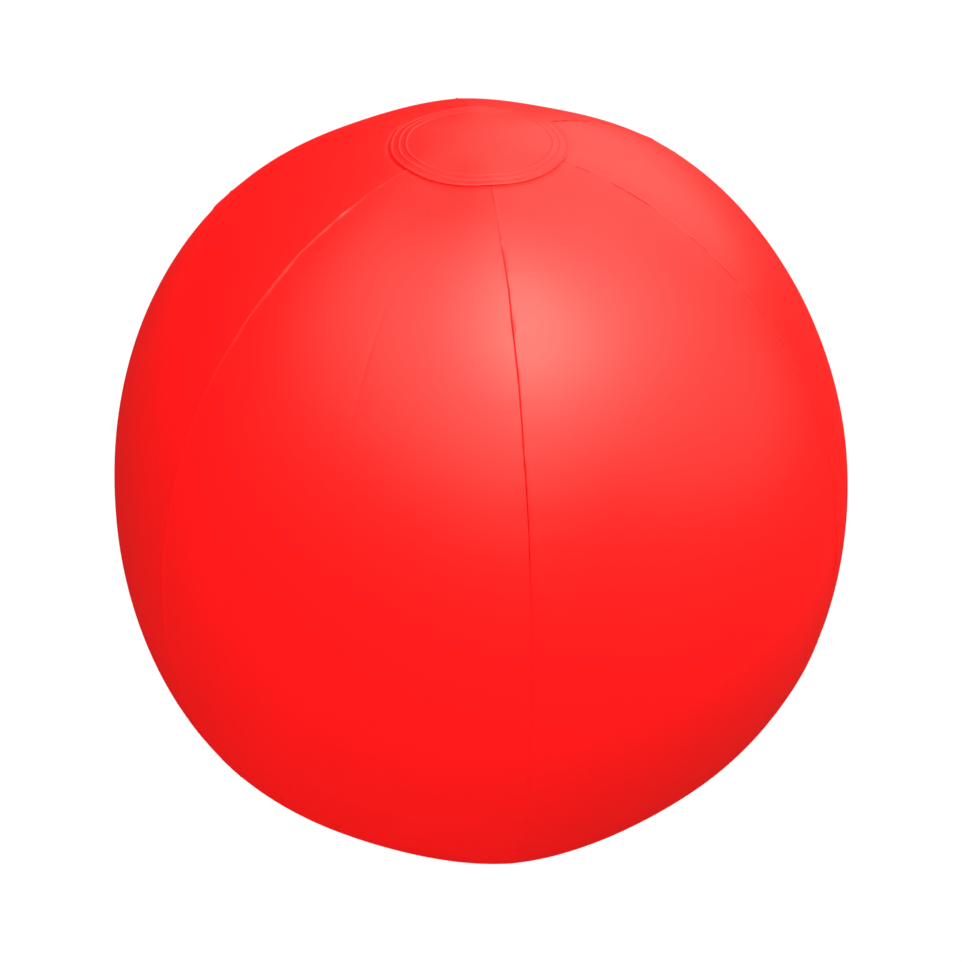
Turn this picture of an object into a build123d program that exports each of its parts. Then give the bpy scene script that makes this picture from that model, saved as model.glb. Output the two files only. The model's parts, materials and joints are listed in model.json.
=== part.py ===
from build123d import *

import os
from math import cos, pi, radians, sin

# An inflatable beach ball: six film gores, two polar caps and a push-in valve.
# Millimetres. +Z is the polar axis, and the ball stands on z = 0.

# Ball
EQUATOR_RADIUS = 140.0
POLE_RADIUS = 145.3
ROUNDNESS = 2.07  # exponent of the side view: 2 is an ellipse, more is squarer
SIDE_STEPS = 24
FILM = 0.2
GORES = 6
FIRST_SEAM_DEG = -82.76  # azimuth, from +X towards +Y, of the seam nearest the front
WELD_MARGIN = 3.0  # how far a gore's edges are turned in, where they are welded

# Polar caps
POLE_HOLE_RADIUS = 26.0  # the gores end here, under the caps
CAP_RADIUS = 32.0
CAP_FILM = 0.2
REST_RADIUS = 24.0  # the lower cap is pressed flat inside this
RIDGE_RADII = [26.4, 29.0, 31.6]
RIDGE_SECTION = 0.3  # radius of a weld ridge's round section

# Valve, measured along its own axis from the outer face of its gore
VALVE_GORE = 4
VALVE_LATITUDE_DEG = 30.0
FLANGE_RADIUS = 13.0
FLANGE_HOLE_RADIUS = 9.0
FLANGE_FILM = 0.6
FLANGE_CUTTER = 6.0  # long enough to cross the film at the flange's edge, where it curves away
FILM_HOLE_RADIUS = 9.1
RIM_TOP = 2.0
RIM_RADIUS = 5.2
RIM_HEIGHT = 1.0
RIM_ROUNDING = 0.3
STEM_RADIUS = 4.3
STEM_BOTTOM = -17.0
FOOT_RADIUS = 4.9
FOOT_HEIGHT = 1.0
SEAT_RADIUS = 3.3  # the stopper's plug sits in the wide upper bore
SEAT_DEPTH = 6.0
SEAT_TAPER = 0.6
NOZZLE_RADIUS = 2.5  # a pump's nozzle fits the narrow lower bore

# Cuff between flange and stem, which rolls inside out when the valve is pulled out
CUFF_WALL = 0.5
CUFF_TOP = 0.3
CUFF_ROOT = -0.25
CUFF_DEPTH = 6.8
CUFF_RING_HEIGHT = 0.6

# Stopper, joined to the stem by a strap bent round in a half circle
HEAD_RADIUS = 5.2
HEAD_THICKNESS = 1.6
HEAD_ROUNDING = 0.35
HEAD_GAP = 0.05
PLUG_RADIUS = 3.1
PLUG_STRAIGHT = 1.2
PLUG_WAIST_RADIUS = 2.88
PLUG_WAIST_DEPTH = 3.3
PLUG_TIP_RADIUS = 2.2
PLUG_LENGTH = 5.0
TAB_REACH = 10.0
TAB_WIDTH = 5.5
TAB_THICKNESS = 1.2
STRAP_WIDTH = 3.2
STRAP_THICKNESS = 0.9
STRAP_BEND = 1.7
STRAP_REACH = 5.3  # where the strap leaves the stem and the head
STRAP_RING_HEIGHT = 1.2
LUG_DEPTH = 1.3

# One-way flap under the foot of the stem
FLAP_RADIUS = 3.4
FLAP_THICKNESS = 0.4
FLAP_NECK_WIDTH = 3.0
FLAP_HINGE_REACH = 3.9
FLAP_GAP = 0.05

# Worked out from the above
GORE_ARC = 360.0 / GORES
CAP_EQUATOR = EQUATOR_RADIUS + CAP_FILM
CAP_POLE = POLE_RADIUS + CAP_FILM
FAR = 3 * POLE_RADIUS
HEAD_BOTTOM = RIM_TOP + HEAD_GAP
STRAP_TOP = HEAD_BOTTOM + HEAD_THICKNESS / 2
STRAP_ROOT = STRAP_TOP - 2 * STRAP_BEND
STRAP_HINGE = (STRAP_REACH + pi * STRAP_BEND / 2, 0, STRAP_ROOT + STRAP_BEND)
FLAP_HINGE = (FLAP_HINGE_REACH, 0, STEM_BOTTOM - FLAP_GAP)


def height_at(radius, equator, pole):
    """Height of the ball's side view above its middle, at this distance from the polar axis."""
    return pole * (1 - (radius / equator) ** ROUNDNESS) ** (1 / ROUNDNESS)


CENTRE_HEIGHT = height_at(REST_RADIUS, CAP_EQUATOR, CAP_POLE)


def side_view(inset):
    """Half of the ball's section, beside the polar axis, this far inside the film's outer face."""
    equator = EQUATOR_RADIUS - inset
    pole = POLE_RADIUS - inset
    points = [(0, 0, CENTRE_HEIGHT - pole)]
    for step in range(1, SIDE_STEPS):
        turn = pi * (step / SIDE_STEPS - 0.5)
        out = cos(turn) ** (2 / ROUNDNESS)
        up = abs(sin(turn)) ** (2 / ROUNDNESS)
        if turn < 0:
            up = -up
        points.append((equator * out, 0, CENTRE_HEIGHT + pole * up))
    points.append((0, 0, CENTRE_HEIGHT + pole))
    return make_face(Spline(points) + Line(points[-1], points[0]))


def block(inner, outer, low, high):
    """A rectangle beside an axis, between two radii and two heights."""
    corners = [(inner, 0, low), (outer, 0, low), (outer, 0, high), (inner, 0, high)]
    return make_face(Polyline(corners, close=True))


def rounded_block(inner, outer, low, high, rounding):
    """The same with rounded corners."""
    middle = Plane(((inner + outer) / 2, 0, (low + high) / 2), x_dir=(1, 0, 0), z_dir=(0, -1, 0))
    return middle * RectangleRounded(outer - inner, high - low, rounding)


def spun(section, arc=360.0):
    return revolve(section, Axis.Z, revolution_arc=arc)


def gore_turn(number):
    """The turn that brings a gore from azimuth 0 to its own place, counting from 1."""
    return Rot(Z=FIRST_SEAM_DEG + (number - 1) * GORE_ARC)


def valve_place():
    """The valve's own frame on the ball: Z outwards, and X up towards the pole."""
    latitude = radians(VALVE_LATITUDE_DEG)
    out = (cos(latitude) / EQUATOR_RADIUS) ** ROUNDNESS
    up = (sin(latitude) / POLE_RADIUS) ** ROUNDNESS
    reach = (out + up) ** (-1 / ROUNDNESS)
    x = reach * cos(latitude)
    z = reach * sin(latitude)
    normal_x = x ** (ROUNDNESS - 1) / EQUATOR_RADIUS**ROUNDNESS
    normal_z = z ** (ROUNDNESS - 1) / POLE_RADIUS**ROUNDNESS
    normal = Vector(normal_x, 0, normal_z)
    face = Plane((x, 0, CENTRE_HEIGHT + z), x_dir=(-normal.Z, 0, normal.X), z_dir=normal)
    return gore_turn(VALVE_GORE) * Rot(Z=GORE_ARC / 2) * face.location


VALVE = valve_place()


def gore_panel(number):
    """A film gore with its two turned-in weld margins, which lie flat against its neighbours'."""
    under_caps = block(POLE_HOLE_RADIUS, FAR, -FAR, FAR)
    film = (side_view(0) - side_view(FILM)) & under_caps
    margin = (side_view(FILM / 2) - side_view(WELD_MARGIN)) & under_caps
    first = extrude(margin, FILM, dir=(0, 1, 0))
    last = Rot(Z=GORE_ARC) * extrude(margin, FILM, dir=(0, -1, 0))
    panel = gore_turn(number) * (spun(film, GORE_ARC) + first + last)
    if number == VALVE_GORE:
        panel -= VALVE * Cylinder(FILM_HOLE_RADIUS, FLANGE_CUTTER)
    return panel


def weld_ridges(side):
    """The round sections of a cap's weld ridges, on its outer face. Side is 1 at the top and -1 below."""
    found = []
    for radius in RIDGE_RADII:
        up = side * height_at(radius, CAP_EQUATOR, CAP_POLE)
        face = Plane((radius, 0, CENTRE_HEIGHT + up), x_dir=(1, 0, 0), z_dir=(0, -1, 0))
        found.append(face * Circle(RIDGE_SECTION))
    return found


def top_cap():
    """The disc over the upper ends of the gores."""
    reach = block(0, FAR, CENTRE_HEIGHT, FAR)
    outline = (side_view(-CAP_FILM) & block(0, CAP_RADIUS, CENTRE_HEIGHT, FAR)) + weld_ridges(1)
    return spun((outline - side_view(0)) & reach)


def bottom_cap():
    """The same disc at the lower pole, pressed flat where the ball rests."""
    outline = (side_view(-CAP_FILM) & block(0, CAP_RADIUS, 0, CENTRE_HEIGHT)) + weld_ridges(-1)
    inside = side_view(0) & block(0, FAR, CAP_FILM, FAR)
    return spun((outline - inside) & block(0, FAR, 0, CENTRE_HEIGHT))


def valve_flange():
    """The valve's ring, which follows the gore that it is welded to."""
    skin = gore_turn(VALVE_GORE) * spun(side_view(-FLANGE_FILM) - side_view(0), GORE_ARC)
    ring = Cylinder(FLANGE_RADIUS, FLANGE_CUTTER) - Cylinder(FLANGE_HOLE_RADIUS, FLANGE_CUTTER)
    return skin & (VALVE * ring)


def valve_cuff():
    """A thin cone from the flange down to the stem, as it lies with the valve pushed in."""
    outline = [
        (FLANGE_HOLE_RADIUS, 0, CUFF_TOP),
        (FLANGE_HOLE_RADIUS, 0, CUFF_ROOT),
        (STEM_RADIUS + CUFF_WALL, 0, -CUFF_DEPTH),
        (STEM_RADIUS, 0, -CUFF_DEPTH),
        (STEM_RADIUS, 0, -CUFF_DEPTH + CUFF_RING_HEIGHT),
        (FLANGE_HOLE_RADIUS - CUFF_WALL, 0, 0),
        (FLANGE_HOLE_RADIUS - CUFF_WALL, 0, CUFF_TOP),
    ]
    return VALVE * spun(make_face(Polyline(outline, close=True)))


def strap_lug(height):
    """A square seat for one end of the strap."""
    return Pos(STRAP_REACH - LUG_DEPTH / 2, 0, height) * Box(LUG_DEPTH, STRAP_WIDTH, STRAP_THICKNESS)


def valve_stem():
    """The tube: rim and strap ring outside the cuff, foot inside it, and a bore in two widths."""
    seat_end = RIM_TOP - SEAT_DEPTH
    ring_low = STRAP_ROOT - STRAP_RING_HEIGHT / 2
    ring_high = STRAP_ROOT + STRAP_RING_HEIGHT / 2
    section = rounded_block(SEAT_RADIUS, RIM_RADIUS, RIM_TOP - RIM_HEIGHT, RIM_TOP, RIM_ROUNDING)
    section += rounded_block(SEAT_RADIUS, RIM_RADIUS, ring_low, ring_high, RIM_ROUNDING)
    section += block(SEAT_RADIUS, STEM_RADIUS, seat_end, RIM_TOP - RIM_ROUNDING)
    section += block(NOZZLE_RADIUS, STEM_RADIUS, STEM_BOTTOM, seat_end)
    section += block(NOZZLE_RADIUS, FOOT_RADIUS, STEM_BOTTOM, STEM_BOTTOM + FOOT_HEIGHT)
    taper = [(0, 0, seat_end), (SEAT_RADIUS, 0, seat_end), (NOZZLE_RADIUS, 0, seat_end - SEAT_TAPER)]
    taper.append((0, 0, seat_end - SEAT_TAPER))
    section -= make_face(Polyline(taper, close=True))
    bore = Pos(0, 0, seat_end / 2) * Cylinder(SEAT_RADIUS, -seat_end)
    return VALVE * (spun(section) + (strap_lug(STRAP_ROOT) - bore))


def valve_strap():
    """The living hinge between stem and stopper, bent round in a half circle."""
    bend = Plane((STRAP_REACH, 0, STRAP_ROOT + STRAP_BEND), x_dir=(1, 0, 0), z_dir=(0, -1, 0))
    outer = STRAP_BEND + STRAP_THICKNESS / 2
    ring = Circle(outer) - Circle(outer - STRAP_THICKNESS)
    half = ring & (Pos(outer, 0) * Rectangle(2 * outer, 2 * outer))
    return VALVE * extrude(bend * half, STRAP_WIDTH / 2, both=True)


def valve_stopper():
    """Head, finger tab and a plug that narrows, so that it swings clear of the bore."""
    head = Pos(0, 0, HEAD_BOTTOM + HEAD_THICKNESS / 2) * Cylinder(HEAD_RADIUS, HEAD_THICKNESS)
    head = fillet(head.edges().filter_by(GeomType.CIRCLE), HEAD_ROUNDING)
    tab_end = TAB_REACH - TAB_WIDTH / 2
    tab = Pos(-tab_end / 2, 0) * Rectangle(tab_end, TAB_WIDTH) + Pos(-tab_end, 0) * Circle(TAB_WIDTH / 2)
    tab_low = HEAD_BOTTOM + HEAD_THICKNESS - TAB_THICKNESS
    tab = Pos(0, 0, tab_low) * extrude(tab, TAB_THICKNESS - HEAD_ROUNDING)
    top = (0, 0, HEAD_BOTTOM + HEAD_ROUNDING)
    shoulder = (PLUG_RADIUS, 0, RIM_TOP - PLUG_STRAIGHT)
    waist = (PLUG_WAIST_RADIUS, 0, RIM_TOP - PLUG_WAIST_DEPTH)
    tip = (PLUG_TIP_RADIUS, 0, RIM_TOP - PLUG_LENGTH)
    sides = Polyline(top, (PLUG_RADIUS, 0, top[2]), shoulder) + ThreePointArc(shoulder, waist, tip)
    plug = spun(make_face(sides + Polyline(tip, (0, 0, tip[2]), top)))
    return VALVE * (head + tab + plug + strap_lug(STRAP_TOP))


def valve_check_flap():
    """A thin disc over the foot of the stem, with a neck out to its hinge line."""
    neck = Pos(FLAP_HINGE_REACH / 2, 0) * Rectangle(FLAP_HINGE_REACH, FLAP_NECK_WIDTH)
    shape = Circle(FLAP_RADIUS) + neck
    return VALVE * Pos(0, 0, STEM_BOTTOM - FLAP_GAP) * extrude(shape, -FLAP_THICKNESS)


def all_parts():
    parts = {}
    for number in range(1, GORES + 1):
        parts[f"gore_panel_{number}"] = gore_panel(number)
    parts["top_cap"] = top_cap()
    parts["bottom_cap"] = bottom_cap()
    parts["valve_flange"] = valve_flange()
    parts["valve_cuff"] = valve_cuff()
    parts["valve_stem"] = valve_stem()
    parts["valve_strap"] = valve_strap()
    parts["valve_stopper"] = valve_stopper()
    parts["valve_check_flap"] = valve_check_flap()
    return parts


def valve_point(local):
    """A point of the valve's own frame, on the ball."""
    return (VALVE * Pos(*local)).position


PARTS = all_parts()
os.makedirs("parts", exist_ok=True)
for name, solid in PARTS.items():
    export_step(solid, f"parts/{name}.step")

valve_plane = Plane(VALVE)
print("rest face: z 0, radius", REST_RADIUS)
print("valve slide and nozzle bore axis", valve_plane.z_dir)
print("valve hinge axis", valve_plane.y_dir)
print("stopper hinge at", valve_point(STRAP_HINGE))
print("check flap hinge at", valve_point(FLAP_HINGE))
print("nozzle bore mouth at", valve_point((0, 0, RIM_TOP - SEAT_DEPTH - SEAT_TAPER)))
print("nozzle bore length", RIM_TOP - SEAT_DEPTH - SEAT_TAPER - STEM_BOTTOM)
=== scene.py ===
# %% [markdown]
# An inflatable beach ball. The frame gives six film gores, two polar caps and a push-in valve at
# their real sizes. This file makes the film, the welds and the soft vinyl of the valve around it.
# All lengths are in metres, apart from the small parts of the valve, which are in millimetres.

# %% Load the frame
import json
import math

import bmesh
import bpy
from mathutils import Matrix, Vector


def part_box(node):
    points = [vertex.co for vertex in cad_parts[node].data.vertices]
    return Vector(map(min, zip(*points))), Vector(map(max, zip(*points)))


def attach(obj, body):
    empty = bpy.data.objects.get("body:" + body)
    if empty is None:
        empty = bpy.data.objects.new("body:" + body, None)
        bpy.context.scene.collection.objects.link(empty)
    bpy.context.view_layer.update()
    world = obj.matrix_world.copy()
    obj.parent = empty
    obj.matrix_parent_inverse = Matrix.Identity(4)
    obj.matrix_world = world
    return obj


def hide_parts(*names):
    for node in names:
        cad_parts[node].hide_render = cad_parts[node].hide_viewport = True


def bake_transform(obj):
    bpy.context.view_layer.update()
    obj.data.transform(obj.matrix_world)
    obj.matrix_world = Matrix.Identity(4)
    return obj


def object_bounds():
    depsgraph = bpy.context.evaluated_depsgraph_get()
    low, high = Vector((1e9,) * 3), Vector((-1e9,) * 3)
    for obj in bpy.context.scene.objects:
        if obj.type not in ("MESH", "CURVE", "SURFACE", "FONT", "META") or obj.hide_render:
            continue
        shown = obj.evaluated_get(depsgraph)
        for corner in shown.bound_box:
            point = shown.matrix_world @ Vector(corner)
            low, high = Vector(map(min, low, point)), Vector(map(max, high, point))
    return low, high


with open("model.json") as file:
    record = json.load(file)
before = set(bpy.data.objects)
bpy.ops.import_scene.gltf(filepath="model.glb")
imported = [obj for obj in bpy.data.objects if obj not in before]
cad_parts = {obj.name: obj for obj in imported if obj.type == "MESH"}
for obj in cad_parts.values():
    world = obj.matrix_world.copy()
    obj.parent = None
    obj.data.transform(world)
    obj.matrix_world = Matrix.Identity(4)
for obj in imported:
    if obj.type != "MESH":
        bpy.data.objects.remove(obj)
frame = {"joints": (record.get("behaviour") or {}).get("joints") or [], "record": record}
CAD_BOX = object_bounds()
MM = 0.001

# %% [markdown]
# The ball is a rounded box of revolution: its side view is an ellipse with an exponent a little
# over 2, and its plan is a hexagon with very soft corners, because a flat-cut gore stays straighter
# across its middle than the welds beside it. The frame gives the outer sizes, and three plain
# numbers give the shape between them.

# %% Sizes of the ball
GORES = 6
GORE_ARC = 2 * math.pi / GORES
FILM = 0.2 * MM
EQUATOR_RADIUS = (CAD_BOX[1].x - CAD_BOX[0].x) / 2
CAP_RADIUS = (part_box("top_cap")[1].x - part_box("top_cap")[0].x) / 2
TALLNESS = 1.038  # pole to pole over the width
ROUNDNESS = 2.07  # the side view's exponent
CORNER = 0.0187  # how far the welds stand out past the middle of a gore, as a share of the radius
FLATTEST = 0.4  # share of that by which the middle of a gore is drawn in
CREASE = 0.25  # share of the corner that comes to a crease on the weld; the rest is a soft wave
POLE_RADIUS = TALLNESS * EQUATOR_RADIUS
CENTRE_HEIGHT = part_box("top_cap")[1].z - FILM - POLE_RADIUS
POLE_HOLE = CAP_RADIUS - 6 * MM  # the gores end under the caps
FIRST_SEAM = math.radians(-82.76)  # azimuth of the weld nearest the front
print("equator radius", round(EQUATOR_RADIUS, 4), "pole radius", round(POLE_RADIUS, 4))

# %% [markdown]
# The valve has its own frame: Z runs out along the bore, and X runs up towards the pole. The
# record's bore and the stopper's hinge give both directions and the place.

# %% Place of the valve
SEAT_DROP = 4.6 * MM  # the nozzle bore starts this far below the outer face of the film
bore = next(m for m in frame["record"]["mounts"] if m["name"] == "pump_nozzle_bore")
stopper_joint = next(j for j in frame["joints"] if j["name"] == "stopper_hinge")
VALVE_AXIS = Vector(bore["axis"]).normalized()
VALVE_SIDE = Vector(stopper_joint["axis"]).normalized()
VALVE_UP = VALVE_SIDE.cross(VALVE_AXIS)
VALVE_FACE = Vector(bore["pos_m"]) + VALVE_AXIS * SEAT_DROP
VALVE_TURN = Matrix((VALVE_UP, VALVE_SIDE, VALVE_AXIS)).transposed()
VALVE_PLACE = Matrix.Translation(VALVE_FACE) @ VALVE_TURN.to_4x4()
print("valve face at", [round(c, 4) for c in VALVE_FACE])

# %% [markdown]
# Node trees are easier to read as sums. A Field stands for a number that varies from point to
# point, and arithmetic on it lays the Math nodes. The same helper serves both the meshes'
# Geometry Nodes and the materials' shader nodes.

# %% A number that varies
class Field:
    def __init__(self, tree, socket):
        self.tree = tree
        self.socket = socket

    def math(self, operation, *others):
        node = self.tree.nodes.new("ShaderNodeMath")
        node.operation = operation
        for slot, value in zip(node.inputs, (self, *others)):
            plug(self.tree, slot, value)
        return Field(self.tree, node.outputs[0])

    def __add__(self, other):
        return self.math("ADD", other)

    def __sub__(self, other):
        return self.math("SUBTRACT", other)

    def __rsub__(self, other):
        return (self * -1) + other

    def __mul__(self, other):
        return self.math("MULTIPLY", other)

    def __truediv__(self, other):
        return self.math("DIVIDE", other)

    def __pow__(self, other):
        return self.math("POWER", other)

    def __rtruediv__(self, other):
        return (self**-1) * other

    __radd__ = __add__
    __rmul__ = __mul__


def plug(tree, slot, value):
    """Feeds a socket from a Field, another socket or a plain value."""
    if isinstance(value, Field):
        tree.links.new(value.socket, slot)
    elif isinstance(value, bpy.types.NodeSocket):
        tree.links.new(value, slot)
    else:
        slot.default_value = value


# %% Named functions of a Field
def sine(x):
    return x.math("SINE")


def cosine(x):
    return x.math("COSINE")


def size_of(x):
    return x.math("ABSOLUTE")


def sign_of(x):
    return x.math("SIGN")


def between(x, low, high):
    """Runs from 0 to 1 as x runs from low to high, and stays there beyond."""
    share = (x - low) / (high - low)
    return share.math("MINIMUM", 1.0).math("MAXIMUM", 0.0)


def eased(x, low, high):
    """The same with a gentle start and end."""
    share = between(x, low, high)
    return share * share * (3 - share * 2)


def fading(x, reach):
    """Falls from 1 at x = 0 to a third at x = reach."""
    return (x / reach * -1).math("EXPONENT")


def bell(x, reach):
    """A smooth hump round x = 0."""
    share = x / reach
    return (share * share * -1).math("EXPONENT")


def vector(tree, x, y, z):
    node = tree.nodes.new("ShaderNodeCombineXYZ")
    for slot, value in zip(node.inputs, (x, y, z)):
        plug(tree, slot, value)
    return node.outputs[0]


def parts_of(tree, socket):
    node = tree.nodes.new("ShaderNodeSeparateXYZ")
    tree.links.new(socket, node.inputs[0])
    return [Field(tree, out) for out in node.outputs]


def noise(tree, place, size, detail=2.0, seed=0.0, rough=0.5):
    """Cloudy variation about 0, from -1 to 1, whose lumps are about this size."""
    node = tree.nodes.new("ShaderNodeTexNoise")
    node.noise_dimensions = "4D"
    plug(tree, node.inputs["Vector"], place)
    plug(tree, node.inputs["W"], seed)
    node.inputs["Scale"].default_value = 1 / size
    node.inputs["Detail"].default_value = detail
    node.inputs["Roughness"].default_value = rough
    return Field(tree, node.outputs[0]) * 2 - 1


print("helpers ready")

# %% [markdown]
# A Geometry Nodes tree gets named inputs, so that one tree makes all six gores. Each is laid by
# a function: it opens the tree, builds the surface, and ends in Realize Instances and Set
# Material. The evaluated result is then kept as a plain mesh, and the modifier is gone.

# %% Trees with named inputs
def new_tree(name, numbers):
    """An empty geometry tree, its inputs as Fields by name, and its two ends."""
    tree = bpy.data.node_groups.new(name, "GeometryNodeTree")
    tree.interface.new_socket("Geometry", in_out="OUTPUT", socket_type="NodeSocketGeometry")
    for label in numbers:
        tree.interface.new_socket(label, in_out="INPUT", socket_type="NodeSocketFloat")
    tree.interface.new_socket("Material", in_out="INPUT", socket_type="NodeSocketMaterial")
    start = tree.nodes.new("NodeGroupInput")
    end = tree.nodes.new("NodeGroupOutput")
    fields = {label: Field(tree, start.outputs[label]) for label in numbers}
    return tree, fields, start, end


def run(tree, kind, setup=None, **feeds):
    """Lays a node of this kind, sets its options, feeds its inputs by name, and gives the node."""
    node = tree.nodes.new(kind)
    for option, value in (setup or {}).items():
        setattr(node, option, value)
    for label, value in feeds.items():
        plug(tree, next(s for s in node.inputs if s.name == label.replace("_", " ") and s.enabled), value)
    return node


def dress(tree, geometry, uv, weld):
    """Stores the map and the share of painted shade, as the weld attribute, while the grid is still flat.
    """
    kept = run(tree, "GeometryNodeStoreNamedAttribute", Geometry=geometry, Name="weld", Value=weld)
    as_map = {"data_type": "FLOAT2", "domain": "CORNER"}
    store = "GeometryNodeStoreNamedAttribute"
    mapped = run(tree, store, as_map, Geometry=kept.outputs[0], Name="UVMap", Value=uv)
    return mapped.outputs[0]


def close_tree(tree, start, end, geometry):
    """Smooth shading, real geometry and the material, in that order."""
    smooth = run(tree, "GeometryNodeSetShadeSmooth", Geometry=geometry)
    real = run(tree, "GeometryNodeRealizeInstances", Geometry=smooth.outputs[0])
    painted = run(tree, "GeometryNodeSetMaterial", Geometry=real.outputs[0])
    plug(tree, painted.inputs["Material"], start.outputs["Material"])
    tree.links.new(painted.outputs[0], end.inputs[0])


def set_inputs(modifier, values):
    """A modifier's inputs are set by their identifiers."""
    for item in modifier.node_group.interface.items_tree:
        if item.in_out == "INPUT" and item.name in values:
            modifier[item.identifier] = values[item.name]


def grown(name, tree, values, thickness=0.0):
    """The tree's result as a plain mesh object at the origin, with a wall if it is a sheet."""
    maker = bpy.data.objects.new(name + "_maker", bpy.data.meshes.new(name + "_seed"))
    bpy.context.scene.collection.objects.link(maker)
    modifier = maker.modifiers.new("Maker", "NODES")
    modifier.node_group = tree
    set_inputs(modifier, values)
    if thickness:
        wall = maker.modifiers.new("Wall", "SOLIDIFY")
        wall.thickness = thickness
        wall.offset = -1
    ready = maker.evaluated_get(bpy.context.evaluated_depsgraph_get())
    mesh = bpy.data.meshes.new_from_object(ready)
    mesh.name = name
    bpy.data.objects.remove(maker)
    piece = bpy.data.objects.new(name, mesh)
    bpy.context.scene.collection.objects.link(piece)
    print(name, "faces", len(mesh.polygons))
    return piece


# %% [markdown]
# The film itself is a satin PVC. It is nearly one colour all over, so its finish has to come from
# small things: a faint cloudiness in the pigment, a fine orange-peel grain, rare dark specks,
# painted shade along the welds and round the caps' rims, and patches that are a little more polished.
# Each of these is a node group, so the caps and gores share them.

# %% Groups shared by the materials
CLOUD_SIZE = 45 * MM
CLOUD_RANGE = (-0.6, 0.8)  # the noise at which a cloud begins, and is full
CLOUD_SHARE = 0.16  # the most that the deep colour shows through
SPECK_SPACING = 9 * MM
SPECK_RADIUS = (0.015, 0.03)  # as shares of the spacing, from solid to gone


def new_shader_group(name, inputs, outputs):
    group = bpy.data.node_groups.new(name, "ShaderNodeTree")
    for label, kind in inputs:
        group.interface.new_socket(label, in_out="INPUT", socket_type="NodeSocket" + kind)
    for label, kind in outputs:
        group.interface.new_socket(label, in_out="OUTPUT", socket_type="NodeSocket" + kind)
    return group, group.nodes.new("NodeGroupInput"), group.nodes.new("NodeGroupOutput")


def mixed(tree, share, first, second):
    """A colour between two."""
    node = tree.nodes.new("ShaderNodeMix")
    node.data_type = "RGBA"
    plug(tree, node.inputs[0], share)
    plug(tree, node.inputs[6], first)
    plug(tree, node.inputs[7], second)
    return node.outputs[2]


def film_tone_group():
    """Pigment cloudiness, rare specks, and painted shade in the deep colour where Weld is above 0."""
    group, start, end = new_shader_group(
        "Film tone",
        [("Vector", "Vector"), ("Colour", "Color"), ("Deep colour", "Color"), ("Speck colour", "Color"),
         ("Weld", "Float"), ("Speck amount", "Float")],
        [("Colour", "Color")],
    )
    cloud = noise(group, start.outputs["Vector"], CLOUD_SIZE, detail=3)
    share = between(cloud, *CLOUD_RANGE) * CLOUD_SHARE
    clouded = mixed(group, share, start.outputs["Colour"], start.outputs["Deep colour"])
    # painted shade: the deep colour is laid over the film as far as Weld says
    with_painted_shade = mixed(group, start.outputs["Weld"], clouded, start.outputs["Deep colour"])
    dots = group.nodes.new("ShaderNodeTexVoronoi")
    plug(group, dots.inputs["Vector"], start.outputs["Vector"])
    dots.inputs["Scale"].default_value = 1 / SPECK_SPACING
    dots.inputs["Randomness"].default_value = 1.0
    pick = group.nodes.new("ShaderNodeSeparateColor")
    group.links.new(dots.outputs["Color"], pick.inputs[0])
    chosen = Field(group, pick.outputs[0]).math("LESS_THAN", Field(group, start.outputs["Speck amount"]))
    inside = 1 - between(Field(group, dots.outputs["Distance"]), *SPECK_RADIUS)
    spotted = mixed(group, chosen * inside, with_painted_shade, start.outputs["Speck colour"])
    group.links.new(spotted, end.inputs["Colour"])
    return group


FILM_TONE = film_tone_group()
print(FILM_TONE.name, "built")


# %% [markdown]
# Soft vinyl is never quite smooth. Three sizes of noise stand for its orange peel, the marks of
# handling, and the patches where it is polished a little more. The group gives a height for a
# Bump node and a roughness, so each material picks its own strength.

# %% Grain of soft vinyl
MARK_SIZE = 14 * MM
MARK_SHARE = 0.35
PATCH_SIZE = 60 * MM
PATCH_SHARE = 0.7
FINE_SIZE = 3 * MM
LEAST_SIZE = 0.00001  # keeps the scale finite
MARK_SEED, PATCH_SEED, FINE_SEED = 3.0, 7.0, 11.0


def vinyl_grain_group():
    """Orange peel and handling marks as a height, and the polish that goes with them."""
    group, start, end = new_shader_group(
        "Vinyl grain",
        [("Vector", "Vector"), ("Peel size", "Float"), ("Polish", "Float"), ("Polish change", "Float")],
        [("Height", "Float"), ("Roughness", "Float")],
    )
    peel_node = group.nodes.new("ShaderNodeTexNoise")
    plug(group, peel_node.inputs["Vector"], start.outputs["Vector"])
    peel_size = Field(group, start.outputs["Peel size"]).math("MAXIMUM", LEAST_SIZE)
    plug(group, peel_node.inputs["Scale"], 1 / peel_size)
    peel_node.inputs["Detail"].default_value = 4
    peel = Field(group, peel_node.outputs[0]) - 0.5
    marks = noise(group, start.outputs["Vector"], MARK_SIZE, detail=5, seed=MARK_SEED, rough=0.62)
    height = peel + marks * MARK_SHARE
    patches = noise(group, start.outputs["Vector"], PATCH_SIZE, detail=4, seed=PATCH_SEED)
    fine = noise(group, start.outputs["Vector"], FINE_SIZE, detail=2, seed=FINE_SEED)
    change = patches * PATCH_SHARE + fine * (1 - PATCH_SHARE)
    polish = Field(group, start.outputs["Polish"]) + change * Field(group, start.outputs["Polish change"])
    group.links.new(height.socket, end.inputs["Height"])
    group.links.new(polish.socket, end.inputs["Roughness"])
    return group


VINYL_GRAIN = vinyl_grain_group()
print(VINYL_GRAIN.name, "built")


# %% [markdown]
# Two finishes cover the whole object. The film is saturated red and satin, with shade painted in
# the V along each weld and round the caps' rims. The valve is unpigmented vinyl, so light goes a
# little way into it, and its moulded skin is glossier than the film.

# %% Tools for the materials
def new_material(name):
    material = bpy.data.materials.new(name)
    material.use_nodes = True
    tree = material.node_tree
    return material, tree, tree.nodes["Principled BSDF"]


def place_group(tree, group, **feeds):
    node = tree.nodes.new("ShaderNodeGroup")
    node.node_tree = group
    for label, value in feeds.items():
        plug(tree, node.inputs[label.replace("_", " ")], value)
    return node


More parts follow.
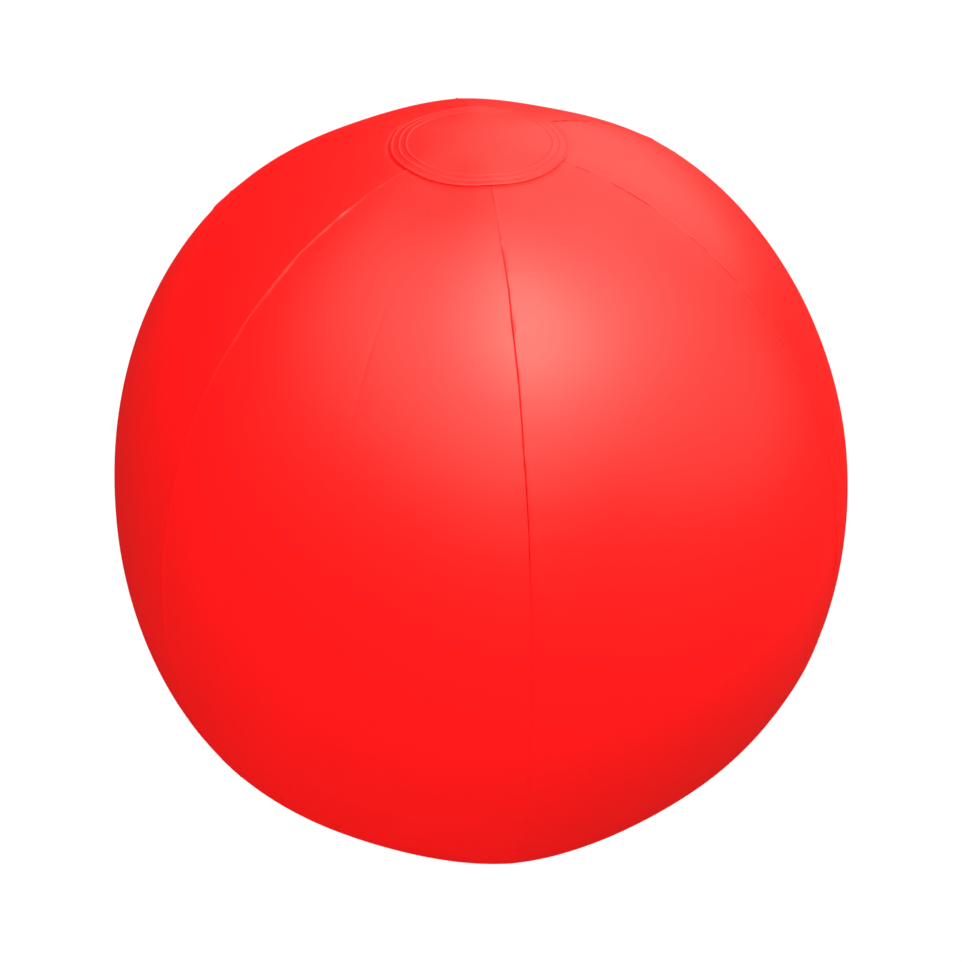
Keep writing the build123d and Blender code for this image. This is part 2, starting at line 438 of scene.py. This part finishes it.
def bumped(tree, shader, height, distance, strength=1.0):
    node = tree.nodes.new("ShaderNodeBump")
    node.inputs["Strength"].default_value = strength
    node.inputs["Distance"].default_value = distance
    plug(tree, node.inputs["Height"], height)
    tree.links.new(node.outputs[0], shader.inputs["Normal"])


def object_place(tree):
    return tree.nodes.new("ShaderNodeTexCoord").outputs["Object"]


# %% Red film
RED = (0.88, 0.0065, 0.0075, 1)
# the colour of the pigment's clouds, and of the painted shade along the welds and the caps' rims
DEEP_RED = (0.55, 0.003, 0.004, 1)
SPECK = (0.22, 0.004, 0.004, 1)


def red_film():
    """Satin red PVC, with painted shade along the welds and round the caps' rims."""
    material, tree, shader = new_material("Red film")
    place = object_place(tree)
    # the weld attribute holds the painted shade in the V along each weld and round the caps' rims
    weld = tree.nodes.new("ShaderNodeAttribute")
    weld.attribute_name = "weld"
    tone = place_group(
        tree, FILM_TONE, Vector=place, Colour=RED, Deep_colour=DEEP_RED, Speck_colour=SPECK,
        Weld=weld.outputs["Fac"], Speck_amount=0.5,
    )
    grain = place_group(
        tree, VINYL_GRAIN, Vector=place, Peel_size=0.9 * MM, Polish=0.44, Polish_change=0.06,
    )
    tree.links.new(tone.outputs["Colour"], shader.inputs["Base Color"])
    tree.links.new(grain.outputs["Roughness"], shader.inputs["Roughness"])
    bumped(tree, shader, grain.outputs["Height"], 0.012 * MM)
    shader.inputs["IOR"].default_value = 1.5
    return material


# %% Clear vinyl
MILKY = (0.64, 0.67, 0.68, 1)
MILKY_DEEP = (0.46, 0.50, 0.52, 1)


def clear_vinyl():
    """Soft unpigmented PVC, milky where it is thick."""
    material, tree, shader = new_material("Clear vinyl")
    place = object_place(tree)
    tone = place_group(
        tree, FILM_TONE, Vector=place, Colour=MILKY, Deep_colour=MILKY_DEEP, Speck_colour=MILKY_DEEP,
        Weld=0.0, Speck_amount=0.0,
    )
    grain = place_group(
        tree, VINYL_GRAIN, Vector=place, Peel_size=0.5 * MM, Polish=0.28, Polish_change=0.05,
    )
    tree.links.new(tone.outputs["Colour"], shader.inputs["Base Color"])
    tree.links.new(grain.outputs["Roughness"], shader.inputs["Roughness"])
    bumped(tree, shader, grain.outputs["Height"], 0.01 * MM)
    shader.inputs["Subsurface Weight"].default_value = 0.35
    shader.inputs["Coat Weight"].default_value = 0.5
    shader.inputs["Coat Roughness"].default_value = 0.12
    shader.inputs["Subsurface Radius"].default_value = (2 * MM, 2 * MM, 2 * MM)
    shader.inputs["Subsurface Scale"].default_value = 1.0
    return material


RED_FILM = red_film()
CLEAR_VINYL = clear_vinyl()
print("materials", RED_FILM.name, CLEAR_VINYL.name)

# %% [markdown]
# Every piece of film lies on one surface, so that surface is a formula used by the gores and the
# caps alike. It takes the turn up the side view, and how near the point is to a weld, and gives
# the distance from the axis, the height, and the way the surface faces.

# %% The ball's surface as a formula
def side_point(turn):
    """Distance from the axis, height over the middle, and the two parts of the normal."""
    out = cosine(turn).math("MAXIMUM", 0.0) ** (2 / ROUNDNESS) * EQUATOR_RADIUS
    rise = size_of(sine(turn)) ** (2 / ROUNDNESS) * POLE_RADIUS
    normal_out = out ** (ROUNDNESS - 1) * EQUATOR_RADIUS**-ROUNDNESS
    normal_up = rise ** (ROUNDNESS - 1) * POLE_RADIUS**-ROUNDNESS
    length = (normal_out * normal_out + normal_up * normal_up) ** 0.5
    above = sign_of(turn)
    return out, rise * above, normal_out / length, normal_up / length * above


def fullness(nearness, out, height):
    """How much the soft corner of the plan stretches the ball here. Nearness is 1 on a weld."""
    wave = (1 - cosine(nearness * math.pi)) * ((1 - CREASE) / 2)
    corner = nearness * nearness * CREASE + wave
    level = out / (out * out + height * height) ** 0.5
    return (corner - FLATTEST) * level * CORNER + 1


def turn_at(radius):
    """The turn at which the side view is this far from the axis."""
    return math.acos((radius / EQUATOR_RADIUS) ** (ROUNDNESS / 2))


print("film ends at turn", round(math.degrees(turn_at(POLE_HOLE)), 2))

# %% [markdown]
# A gore is a long leaf of film. Its two edges are rolled inwards and welded flat against the
# neighbours' edges, which leaves a narrow V along each weld. The tree lays a grid, gives most of
# its columns to the film and a few to the rolled edge and the turned-in margin, and then adds
# what heat and packing leave behind: puckers beside the weld, a fold line down the middle, and a
# slight overall unevenness.

# %% Numbers of the gore tree
FILM_SHARE = 0.80  # share of the columns on the open film
ROLL_SHARE = 0.92  # the rolled edge ends here, and the margin has the rest
CROWDING = 0.93  # how strongly the columns gather at the weld and at the fold
ROW_CROWDING = 0.7  # how strongly the rows gather towards the poles
HALF_ARC = GORE_ARC / 2
MOST_TURN = turn_at(POLE_HOLE)
OPEN_FROM, OPEN_TO = 0.0, 75 * MM  # the V along a weld opens between these heights
LEAST_OPEN = 0.06
TAUT_FROM, TAUT_TO = 122 * MM, 137 * MM  # and shuts again under the cap
TAUT_SHARE = 0.8
LUMP_SIZES = {"shared": 9 * MM, "own": 6 * MM, "wander": 26 * MM, "uneven": 75 * MM, "fold": 60 * MM,
              "gathers": 5 * MM, "lip": 7 * MM, "knot": 4.5 * MM}
SEEDS = {"wander": 20.0, "uneven": 31.0, "fold": 41.0, "gathers": 51.0, "lip": 71.0, "knot": 81.0}
WANDER_REACH = 20 * MM
FOLD_LENGTH = 17 * MM
GROOVE_WIDTH = 0.5 * MM
GATHER_DEPTH, GATHER_REACH = 0.12 * MM, 9 * MM
LIP_FROM, LIP_TO = -60 * MM, 10 * MM  # the lip grows between these heights
LEAST_LIP = 0.2
LIP_BREAKS = (-0.15, 0.35)  # the noise at which the lip is broken, and whole
BROKEN_LIP = 0.1
KNOT_REACH = 0.7 * MM
KNOT_RANGE = (0.2, 0.4)  # the noise at which a knot begins, and is full
KNOT_SHARES = (1.0, 0.3)  # on the near and on the far side of a weld
# painted shade: the film is darkened between these shares of the roll, in the V along a weld
WELD_SHADE = (0.15, 0.8)  # shares of the roll between which the film darkens
VALVE_CALM = 14 * MM  # the film is smooth this near the valve
VALVE_RISE = 34 * MM  # and stands up to meet it over this reach
FLOOR_GAP = 0.3 * MM
GORE_NUMBERS = [
    "Azimuth", "Roll radius", "Weld margin", "Near lip", "Far lip", "Lip reach", "Knot height",
    "Pucker depth", "Pucker reach", "Wander", "Fold depth", "Fold width", "Fold height",
    "Unevenness", "Cap groove", "Valve lift", "Valve hole", "Seed", "Columns", "Rows",
]


# %% The gore tree
def leaf_columns(across):
    """Where a column lies: share of the half gore, share of the roll, share of the margin."""
    film = between(across, 0.0, FILM_SHARE)
    film = film * film * (3 - film * 2) * CROWDING + film * (1 - CROWDING)
    return film, between(across, FILM_SHARE, ROLL_SHARE), between(across, ROLL_SHARE, 1.0)


def open_share_at(height):
    """How far the V along a weld is open at this height, from nearly shut to 1."""
    opened = eased(height, OPEN_FROM, OPEN_TO) * (1 - LEAST_OPEN) + LEAST_OPEN
    return opened * (1 - eased(height, TAUT_FROM, TAUT_TO) * TAUT_SHARE)


def gore_tree():
    tree, n, start, end = new_tree("Gore panel", GORE_NUMBERS)
    grid = run(tree, "GeometryNodeMeshGrid", Size_X=1.0, Size_Y=1.0)
    plug(tree, grid.inputs["Vertices X"], n["Columns"])
    plug(tree, grid.inputs["Vertices Y"], n["Rows"])
    x, y, _ = parts_of(tree, tree.nodes.new("GeometryNodeInputPosition").outputs[0])
    side = sign_of(x)
    film, roll, margin = leaf_columns(size_of(x) * 2)
    along = sine(y * math.pi) * ROW_CROWDING + y * 2 * (1 - ROW_CROWDING)
    turn = along * MOST_TURN
    out, height, facing_out, facing_up = side_point(turn)

    # the film stops one roll radius short of the weld, and air pressure shuts the V low on the ball
    open_share = open_share_at(height)
    roll_radius = n["Roll radius"] * open_share
    short = (roll_radius / out).math("ARCSINE")
    swing = film * (HALF_ARC - short)
    nearness = swing / HALF_ARC
    full = fullness(nearness, out, height)
    gap = (HALF_ARC - swing) * out
    out, height = out * full, height * full

    # the point of the weld at this height, shared with the neighbour
    seam = n["Azimuth"] + side * HALF_ARC
    weld_place = vector(tree, cosine(seam) * out, sine(seam) * out, height)
    shared = noise(tree, weld_place, LUMP_SIZES["shared"], detail=3, seed=n["Seed"])
    own = noise(tree, weld_place, LUMP_SIZES["own"], detail=2, seed=n["Azimuth"] + side * 5)
    drift = noise(tree, weld_place, LUMP_SIZES["wander"], detail=4, seed=SEEDS["wander"])
    wander = drift * n["Wander"] * fading(gap, WANDER_REACH)
    near = fading(gap, n["Pucker reach"])
    pucker = (shared * near + own * near * between(gap, 0.0, 2 * MM)) * n["Pucker depth"]

    # where this point is before any small displacement
    azimuth = n["Azimuth"] + side * swing
    flat_x, flat_y = cosine(azimuth) * out, sine(azimuth) * out
    place = vector(tree, flat_x, flat_y, height)
    uneven = noise(tree, place, LUMP_SIZES["uneven"], detail=2, seed=SEEDS["uneven"]) * n["Unevenness"]
    fold_place = vector(tree, height, n["Azimuth"], 0.0)
    fold_line = side * swing * out - noise(tree, fold_place, LUMP_SIZES["fold"], seed=SEEDS["fold"]) * MM
    fold_mask = bell(height - n["Fold height"], FOLD_LENGTH)
    fold = bell(fold_line, n["Fold width"]) * fold_mask * n["Fold depth"]
    cap_gap = out - CAP_RADIUS
    groove = bell(cap_gap - GROOVE_WIDTH, GROOVE_WIDTH) * n["Cap groove"]
    flat_place = vector(tree, flat_x, flat_y, 0.0)
    gathers = noise(tree, flat_place, LUMP_SIZES["gathers"], detail=2, seed=SEEDS["gathers"]) * GATHER_DEPTH

    # a broken lip stands along each weld, with a small knot here and there
    lip_height = (side + 1) * 0.5 * (n["Far lip"] - n["Near lip"]) + n["Near lip"]
    lip_share = eased(height, LIP_FROM, LIP_TO) * (1 - LEAST_LIP) + LEAST_LIP
    lip_noise = noise(tree, weld_place, LUMP_SIZES["lip"], detail=4, seed=SEEDS["lip"])
    whole = between(lip_noise, *LIP_BREAKS) * (1 - BROKEN_LIP) + BROKEN_LIP
    lip = lip_height * bell(gap, n["Lip reach"]) * lip_share * whole
    knot_noise = noise(tree, weld_place, LUMP_SIZES["knot"], detail=1, seed=SEEDS["knot"])
    knot = between(knot_noise, *KNOT_RANGE) * bell(gap, KNOT_REACH) * n["Knot height"]
    near_share, far_share = KNOT_SHARES
    lip = lip + knot * (side * ((far_share - near_share) / 2) + (near_share + far_share) / 2)
    push = uneven + pucker + lip + gathers * bell(cap_gap, GATHER_REACH) - fold - groove

    # the valve is welded to a patch of film that stands up to meet it
    away = tree.nodes.new("ShaderNodeVectorMath")
    away.operation = "DISTANCE"
    tree.links.new(vector(tree, flat_x, flat_y, height + CENTRE_HEIGHT), away.inputs[0])
    away.inputs[1].default_value = VALVE_FACE
    from_valve = Field(tree, away.outputs["Value"])
    push = push * (1 - bell(from_valve, VALVE_CALM) * between(n["Valve hole"], 0.0, MM))
    push = push + bell(from_valve, VALVE_RISE) * n["Valve lift"]

    # roll the edge in, then turn the margin straight down along the weld
    angle = roll * (math.pi / 2)
    sink = (1 - cosine(angle)) * roll_radius + margin * n["Weld margin"]
    over = sine(angle) * roll_radius
    lift = push - sink
    seam_x, seam_y = cosine(seam), sine(seam)
    blend_x = cosine(azimuth) * facing_out
    blend_y = sine(azimuth) * facing_out
    sideways = wander + side * over
    px = flat_x + blend_x * lift - seam_y * sideways
    py = flat_y + blend_y * lift + seam_x * sideways
    pz = height + facing_up * lift + CENTRE_HEIGHT
    pz = pz.math("MAXIMUM", FLOOR_GAP)
    # painted shade in the V along each weld, deeper where the V is open
    weld = eased(roll, *WELD_SHADE) * open_share
    in_hole = from_valve.math("LESS_THAN", n["Valve hole"])
    faces = {"domain": "FACE"}
    cut = run(tree, "GeometryNodeDeleteGeometry", faces, Geometry=grid.outputs["Mesh"], Selection=in_hole)
    dressed = dress(tree, cut.outputs[0], grid.outputs["UV Map"], weld)
    placed = run(tree, "GeometryNodeSetPosition", Geometry=dressed, Position=vector(tree, px, py, pz))
    close_tree(tree, start, end, placed.outputs[0])
    return tree


GORE_TREE = gore_tree()
print(GORE_TREE.name, "nodes", len(GORE_TREE.nodes))

# %% [markdown]
# One call of the tree makes one gore. All six have the same numbers, apart from their azimuth,
# the height of their fold line, and the hole and lift that only the valve's gore has. Each ball
# of this kind is folded flat for sale, which leaves the faint lines down the middles.

# %% Make the six gores
def film_drop_at_valve():
    """How far the film's soft hexagon lies inside the valve's own face, in the middle of a gore."""
    spoke = VALVE_FACE - Vector((0, 0, CENTRE_HEIGHT))
    level = math.hypot(spoke.x, spoke.y) / spoke.length
    return spoke.length * FLATTEST * CORNER * level


def valve_gore_number():
    azimuth = math.atan2(VALVE_FACE.y, VALVE_FACE.x) - FIRST_SEAM
    return int(azimuth % (2 * math.pi) // GORE_ARC) + 1


VALVE_GORE = valve_gore_number()
for number in range(1, GORES + 1):
    holds_valve = number == VALVE_GORE
    gore = grown(f"film_gore_{number}", GORE_TREE, {
        "Azimuth": FIRST_SEAM + (number - 0.5) * GORE_ARC,
        "Roll radius": 0.44 * MM, "Weld margin": 3 * MM,
        "Near lip": 0.48 * MM, "Far lip": 0.06 * MM, "Lip reach": 0.65 * MM, "Knot height": 0.36 * MM,
        "Pucker depth": 0.16 * MM, "Pucker reach": 9 * MM,
        "Wander": 0.75 * MM, "Fold depth": 0.05 * MM, "Fold width": 0.7 * MM,
        "Fold height": (105 if number % 2 == 0 else -100) * MM,
        "Unevenness": 0.35 * MM, "Cap groove": 0.25 * MM,
        "Valve lift": film_drop_at_valve() if holds_valve else 0.0,
        "Valve hole": 10.6 * MM if holds_valve else 0.0,
        "Seed": 2.0, "Columns": 131.0, "Rows": 301.0, "Material": RED_FILM,
    }, thickness=FILM)
    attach(gore, "ball")
    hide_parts(f"gore_panel_{number}")

# %% [markdown]
# A cap is a disc of film welded over the ends of the gores. The welding tool leaves three round
# ridges near its rim. The disc lies on the gores, so it takes their slight six-sided shape, and
# the lower one is pressed flat where the ball rests. One tree makes both: a grid is bent round
# into rings, and its doubled points are merged.

# %% The cap tree
CAP_NUMBERS = ["Side", "Radius", "Thickness", "Ridge height", "Ridge width", "Ridge spacing",
               "Outer ridge", "Unevenness", "Angles", "Rings"]
RIDGES = 3
RIM_FROM, RIM_TO = 10 * MM, 30 * MM  # the soft hexagon shows only towards the cap's rim
CAP_LUMP_SIZE = 16 * MM
CAP_SEED = 61.0
# painted shade round each cap's rim: its strength and its width
RIM_SHADE, RIM_SHADE_WIDTH = 0.6, 0.35 * MM
RING_CROWDING = 0.75  # below 1, the rings gather towards the rim
MERGE_REACH = 0.02 * MM


def cap_tree():
    tree, n, start, end = new_tree("Polar cap", CAP_NUMBERS)
    grid = run(tree, "GeometryNodeMeshGrid", Size_X=1.0, Size_Y=1.0)
    plug(tree, grid.inputs["Vertices X"], n["Angles"])
    plug(tree, grid.inputs["Vertices Y"], n["Rings"])
    x, y, _ = parts_of(tree, tree.nodes.new("GeometryNodeInputPosition").outputs[0])
    angle = x * n["Side"] * (-2 * math.pi)
    radius = (y + 0.5) ** RING_CROWDING * n["Radius"]
    from_weld = (angle - FIRST_SEAM).math("PINGPONG", HALF_ARC)
    height = (1 - (radius / EQUATOR_RADIUS) ** ROUNDNESS) ** (1 / ROUNDNESS) * POLE_RADIUS
    rim_share = eased(radius, RIM_FROM, RIM_TO)
    full = (fullness(1 - from_weld / HALF_ARC, radius, height) - 1) * rim_share + 1
    flat = vector(tree, cosine(angle) * radius, sine(angle) * radius, n["Side"])
    lumps = noise(tree, flat, CAP_LUMP_SIZE, detail=2, seed=CAP_SEED) * n["Unevenness"]
    lift = lumps + n["Thickness"]
    for number in range(RIDGES):
        place = n["Radius"] - n["Outer ridge"] - n["Ridge spacing"] * number
        lift = lift + bell(radius - place, n["Ridge width"]) * n["Ridge height"]
    pz = (height * full + lift) * n["Side"] + CENTRE_HEIGHT
    pz = pz.math("MAXIMUM", 0.0)
    spread = radius * full
    # painted shade along the cap's rim, stored as the weld attribute for the film's material
    shade = bell(radius - n["Radius"], RIM_SHADE_WIDTH) * RIM_SHADE
    dressed = dress(tree, grid.outputs["Mesh"], grid.outputs["UV Map"], shade)
    bent = vector(tree, cosine(angle) * spread, sine(angle) * spread, pz)
    placed = run(tree, "GeometryNodeSetPosition", Geometry=dressed, Position=bent)
    closed = run(tree, "GeometryNodeMergeByDistance", Geometry=placed.outputs[0], Distance=MERGE_REACH)
    close_tree(tree, start, end, closed.outputs[0])
    return tree


CAP_TREE = cap_tree()
print(CAP_TREE.name, "nodes", len(CAP_TREE.nodes))

# %% [markdown]
# The two caps differ only in the side they are on. Each is kept as a real sheet, doubled inwards,
# so its rim has an edge that shades and casts a fine line on the gores. Shade is also painted on
# each cap along its rim.

# %% Make the two caps
CAP_WALL = 0.34 * MM
for node, side in (("top_cap", 1.0), ("bottom_cap", -1.0)):
    cap = grown(f"film_{node}", CAP_TREE, {
        "Side": side, "Radius": CAP_RADIUS, "Thickness": 0.36 * MM, "Ridge height": 0.19 * MM,
        "Ridge width": 0.36 * MM, "Ridge spacing": 2.6 * MM, "Outer ridge": 0.6 * MM,
        "Unevenness": 0.14 * MM, "Angles": 241.0, "Rings": 121.0, "Material": RED_FILM,
    }, thickness=CAP_WALL)
    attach(cap, "ball")
    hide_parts(node)

# %% [markdown]
# The valve is one soft moulding with thin places that bend. The tube, the stopper and the flap
# keep their frame shapes and take the milky vinyl. The flange, the cuff and the strap are made
# below as fine meshes.

# %% Milky vinyl on the stiff pieces
STIFF_PIECES = ("valve_stem", "valve_stopper", "valve_check_flap")
for piece_name in STIFF_PIECES:
    slots = bpy.data.objects[piece_name].material_slots
    for slot in slots:
        slot.material = CLEAR_VINYL
    print(piece_name, "slots", len(slots))


# %% [markdown]
# The three soft pieces of the valve are each one section carried along a path: round the bore for
# the flange and the cuff, and round the bend for the strap. A helper joins the rings of points
# into faces, turns the faces outwards, and puts the mesh in its place.

# %% Swept pieces of the valve
def swept(name, rings, closed_ends):
    """A mesh through rings of points, each ring closed, in the valve's own millimetres."""
    points = [VALVE_PLACE @ (Vector(point) * MM) for ring in rings for point in ring]
    count = len(rings[0])
    faces = []
    for row in range(len(rings) - (1 if closed_ends else 0)):
        ahead = (row + 1) % len(rings)
        for k in range(count):
            beside = (k + 1) % count
            faces.append((row * count + k, row * count + beside, ahead * count + beside, ahead * count + k))
    if closed_ends:
        faces.append(tuple(range(count)))
        faces.append(tuple((len(rings) - 1) * count + k for k in reversed(range(count))))
    mesh = bpy.data.meshes.new(name)
    mesh.from_pydata(points, [], faces)
    body = bmesh.new()
    body.from_mesh(mesh)
    bmesh.ops.recalc_face_normals(body, faces=body.faces)
    body.to_mesh(mesh)
    body.free()
    mesh.shade_smooth()
    mesh.materials.append(CLEAR_VINYL)
    piece = bpy.data.objects.new(name, mesh)
    bpy.context.scene.collection.objects.link(piece)
    print(name, "faces", len(mesh.polygons))
    return piece


def turned(section, turn):
    """A section of radii and heights, carried round the bore."""
    return [(radius * math.cos(turn), radius * math.sin(turn), height) for radius, height in section]


def turns(count):
    """Evenly spaced turns round the bore."""
    return [2 * math.pi * k / count for k in range(count)]


# %% [markdown]
# The flange is a soft ring that is welded to the film. It follows the ball, thins out to its edge
# so that it lies down without a step, and the welding tool has pressed three rings into it. Its
# section is a formula in the distance from the bore, turned all the way round.

# %% The welded flange
FLANGE_HOLE = 9.0  # all in millimetres
FLANGE_EDGE = 13.0
FLANGE_TOP = 0.6
FLANGE_UNDER = -0.3  # tucked into the film, so no gap shows
FLANGE_STEPS = 48
FLANGE_TURNS = 144
EDGE_WIDTH = 0.7
EDGE_THINNING = 0.45
WELD_RINGS = (10.3, 11.2, 12.1)
RING_WIDTH = 0.22
RING_DEPTH = 0.1
UNDER_STRIDE = 8  # the hidden face needs fewer points
BALL_RADIUS = EQUATOR_RADIUS / MM


def ball_fall(radius):
    """How far the ball has curved away at this distance from the bore."""
    return radius**2 / (2 * BALL_RADIUS)


def flange_height(radius):
    """The upper face: it follows the ball, thins towards its edge, and bears three weld rings."""
    edge = max(0.0, (radius - FLANGE_EDGE + EDGE_WIDTH) / EDGE_WIDTH)
    rings = sum(math.exp(-(((radius - ring) / RING_WIDTH) ** 2)) for ring in WELD_RINGS)
    return FLANGE_TOP * (1 - EDGE_THINNING * edge**2) - ball_fall(radius) - RING_DEPTH * rings


def flange_ring(turn):
    section = []
    for step in range(FLANGE_STEPS + 1):
        radius = FLANGE_HOLE + (FLANGE_EDGE - FLANGE_HOLE) * step / FLANGE_STEPS
        section.append((radius, flange_height(radius)))
    under = [(radius, FLANGE_UNDER - ball_fall(radius)) for radius, _ in section[::-UNDER_STRIDE]]
    return turned(section + under, turn)


flange = swept("soft_flange", [flange_ring(turn) for turn in turns(FLANGE_TURNS)], False)
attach(flange, "ball")
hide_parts("valve_flange")

# %% [markdown]
# The cuff is the thin cone that lets the valve be pushed in flush. Its rim meets the ball and its
# foot the tube, and on the real valve it turns inside out as the tube slides out. It is made here as
# one mesh at rest.

# %% The rolling cuff
CUFF_RIM = (9.0, -0.25)  # outer face at the flange: radius and height, in millimetres
CUFF_FOOT = (4.8, -6.8)
CUFF_WALL = 0.5
CUFF_SWELL = 0.18  # it sags a little between its ends
CUFF_SLANT = 0.25  # the inner face stands this much higher
CUFF_TOP = 0.2
CUFF_TURNS = 96
CUFF_ROWS = 28


def cuff_ring(turn):
    """The cuff's section at one turn: down the outer face and back up the inner one."""
    section = []
    for row in range(CUFF_ROWS + 1):
        share = row / CUFF_ROWS
        swell = CUFF_SWELL * math.sin(math.pi * share)
        radius = CUFF_RIM[0] + (CUFF_FOOT[0] - CUFF_RIM[0]) * share + swell
        height = CUFF_RIM[1] + (CUFF_FOOT[1] - CUFF_RIM[1]) * share - swell
        section.append((radius, height))
    inner = [(radius - CUFF_WALL, min(height + CUFF_SLANT, CUFF_TOP)) for radius, height in section[::-1]]
    return turned(section + inner, turn)


cuff = swept("soft_cuff", [cuff_ring(turn) for turn in turns(CUFF_TURNS)], False)
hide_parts("valve_cuff")
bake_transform(cuff)

# %% [markdown]
# The strap is a living hinge: a flat band that is moulded to the tube's rim ring at one end and
# to the stopper's head at the other, and thinnest in the middle, where it bends.

# %% The strap
STRAP_REACH = 5.3
STRAP_BEND = 1.7
STRAP_MIDDLE = 1.15  # height of the bend's centre
STRAP_WIDTH = 3.2
STRAP_THICKNESS = 0.9
STRAP_ROUNDING = 0.3
STRAP_THINNING = 0.25
STRAP_STEPS = 40
CORNER_STEPS = 5  # points on each rounded corner


def strap_section():
    """A rounded rectangle, as offsets outwards and along the hinge."""
    offsets = []
    for quarter in range(4):
        right = 1 if quarter in (0, 3) else -1
        up = 1 if quarter in (0, 1) else -1
        for step in range(CORNER_STEPS):
            turn = math.pi / 2 * (quarter + step / (CORNER_STEPS - 1))
            out = right * (STRAP_THICKNESS / 2 - STRAP_ROUNDING) + STRAP_ROUNDING * math.cos(turn)
            along = up * (STRAP_WIDTH / 2 - STRAP_ROUNDING) + STRAP_ROUNDING * math.sin(turn)
            offsets.append((out, along))
    return offsets


def strap_ring(share):
    turn = math.pi * (share - 0.5)
    thin = 1 - STRAP_THINNING * math.sin(math.pi * share) ** 2
    ring = []
    for out, along in strap_section():
        radius = STRAP_BEND + out * thin
        ring.append((STRAP_REACH + radius * math.cos(turn), along, STRAP_MIDDLE + radius * math.sin(turn)))
    return ring


strap = swept("soft_strap", [strap_ring(k / STRAP_STEPS) for k in range(STRAP_STEPS + 1)], True)
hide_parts("valve_strap")
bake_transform(strap)

# %% [markdown]
# The floor is a stage, so it isn't part of the object. It looks plain white, but gives the ball no
# light and takes no shadow, which keeps its reflection out of the satin film.

# %% Floor
FLOOR_REACH = 30.0
FLOOR_LEVEL = -0.1 * MM  # just under the ball, so the two faces don't flicker
DARK = (0.025, 0.025, 0.025, 1)


def studio_floor():
    mesh = bpy.data.meshes.new("studio_floor")
    signs = ((-1, -1), (1, -1), (1, 1), (-1, 1))
    corners = [(x * FLOOR_REACH, y * FLOOR_REACH, FLOOR_LEVEL) for x, y in signs]
    mesh.from_pydata(corners, [], [(0, 1, 2, 3)])
    floor = bpy.data.objects.new("studio_floor", mesh)
    bpy.context.scene.collection.objects.link(floor)
    material, tree, shader = new_material("Pale floor")
    shader.inputs["Roughness"].default_value = 1.0
    shader.inputs["Specular IOR Level"].default_value = 0.0
    shader.inputs["Emission Color"].default_value = (1, 1, 1, 1)
    rays = tree.nodes.new("ShaderNodeLightPath")
    tree.links.new(rays.outputs["Is Camera Ray"], shader.inputs["Emission Strength"])
    shader.inputs["Base Color"].default_value = DARK
    mesh.materials.append(material)
    floor.visible_shadow = False


studio_floor()

# %% [markdown]
# Most of the light comes evenly from all round, from fills that make no reflections. They are
# sampled only as lamps: a bounce that reached for one of those below would be stopped by the
# floor, and leave a hard edge in the shading. Four warmer lamps do show in the film. The one
# overhead makes the broad highlight on the shoulder, and the others the sheen round it.

# %% Lights
def studio_world():
    """White to the eye, and no light of its own."""
    world = bpy.data.worlds.new("Studio")
    bpy.context.scene.world = world
    world.use_nodes = True
    tree = world.node_tree
    rays = tree.nodes.new("ShaderNodeLightPath")
    tree.links.new(rays.outputs["Is Camera Ray"], tree.nodes["Background"].inputs["Strength"])
    tree.nodes["Background"].inputs["Color"].default_value = (1, 1, 1, 1)


WARM_WHITE = (1.0, 0.95, 0.80)  # the lamps that make the highlight
PLAIN_WHITE = (1.0, 0.98, 0.97)  # the fills, which make none


def soft_lamp(name, direction, distance, size, power, shine):
    data = bpy.data.lights.new(name, "AREA")
    data.color = WARM_WHITE if shine else PLAIN_WHITE
    data.shape = "DISK"
    data.size = size
    data.energy = power
    data.cycles.use_multiple_importance_sampling = shine
    lamp = bpy.data.objects.new(name, data)
    bpy.context.scene.collection.objects.link(lamp)
    middle = Vector((0, 0, CENTRE_HEIGHT))
    way = Vector(direction).normalized()
    lamp.location = middle + way * distance
    lamp.rotation_euler = way.to_track_quat("Z", "Y").to_euler()
    lamp.visible_glossy = shine


# name, direction from the ball, distance and width in metres, power in watts
SHINING = (
    ("overhead", (0.24, -0.27, 0.93), 1.3, 0.9, 14.0),
    ("ceiling", (0.1, -0.36, 0.9), 1.6, 3.0, 49.0),
    ("right window", (0.9, -0.1, 0.45), 1.7, 1.8, 9.0),
    ("back window", (0.4, 0.75, 0.6), 1.7, 1.8, 11.0),
)
FILLS = (
    ("front fill", (0.3, -0.88, 0.0), 1.8, 1.6, 12.0),
    ("left fill", (-0.88, -0.4, 0.0), 1.8, 1.6, 16.5),
    ("back fill", (-0.6, 0.8, 0.1), 1.8, 1.6, 16.0),
    ("right fill", (0.75, 0.5, 0.0), 1.8, 1.6, 15.0),
    ("table front", (-0.1, -0.35, -0.93), 1.4, 2.0, 20.0),
    ("table back", (0.1, 0.6, -0.8), 1.5, 2.0, 14.0),
)
studio_world()
for lamp_sizes in SHINING:
    soft_lamp(*lamp_sizes, shine=True)
for lamp_sizes in FILLS:
    soft_lamp(*lamp_sizes, shine=False)
print("lamps", len(SHINING), "that shine and", len(FILLS), "fills")

# %% [markdown]
# The camera looks down on the ball from the front, about a metre away, through a long lens. The
# small shifts put the ball where it belongs in the square.

# %% Camera
CAMERA_HEIGHT_ANGLE = math.radians(32.97)
CAMERA_DISTANCE = 7.167 * EQUATOR_RADIUS
LENS = 97.6  # millimetres, on a sensor 36 mm wide
SENSOR = 36.0
SHIFT = (0.0016, 0.0009)
camera_data = bpy.data.cameras.new("camera")
camera = bpy.data.objects.new("camera", camera_data)
bpy.context.scene.collection.objects.link(camera)
camera_data.lens = LENS
camera_data.sensor_width = SENSOR
camera_data.shift_x, camera_data.shift_y = SHIFT
back = Vector((0, -math.cos(CAMERA_HEIGHT_ANGLE), math.sin(CAMERA_HEIGHT_ANGLE)))
camera.location = Vector((0, 0, CENTRE_HEIGHT)) + back * CAMERA_DISTANCE
camera.rotation_euler = back.to_track_quat("Z", "Y").to_euler()
bpy.context.scene.camera = camera
bpy.context.scene.view_settings.view_transform = "Standard"
print("camera at", [round(c, 3) for c in camera.location])
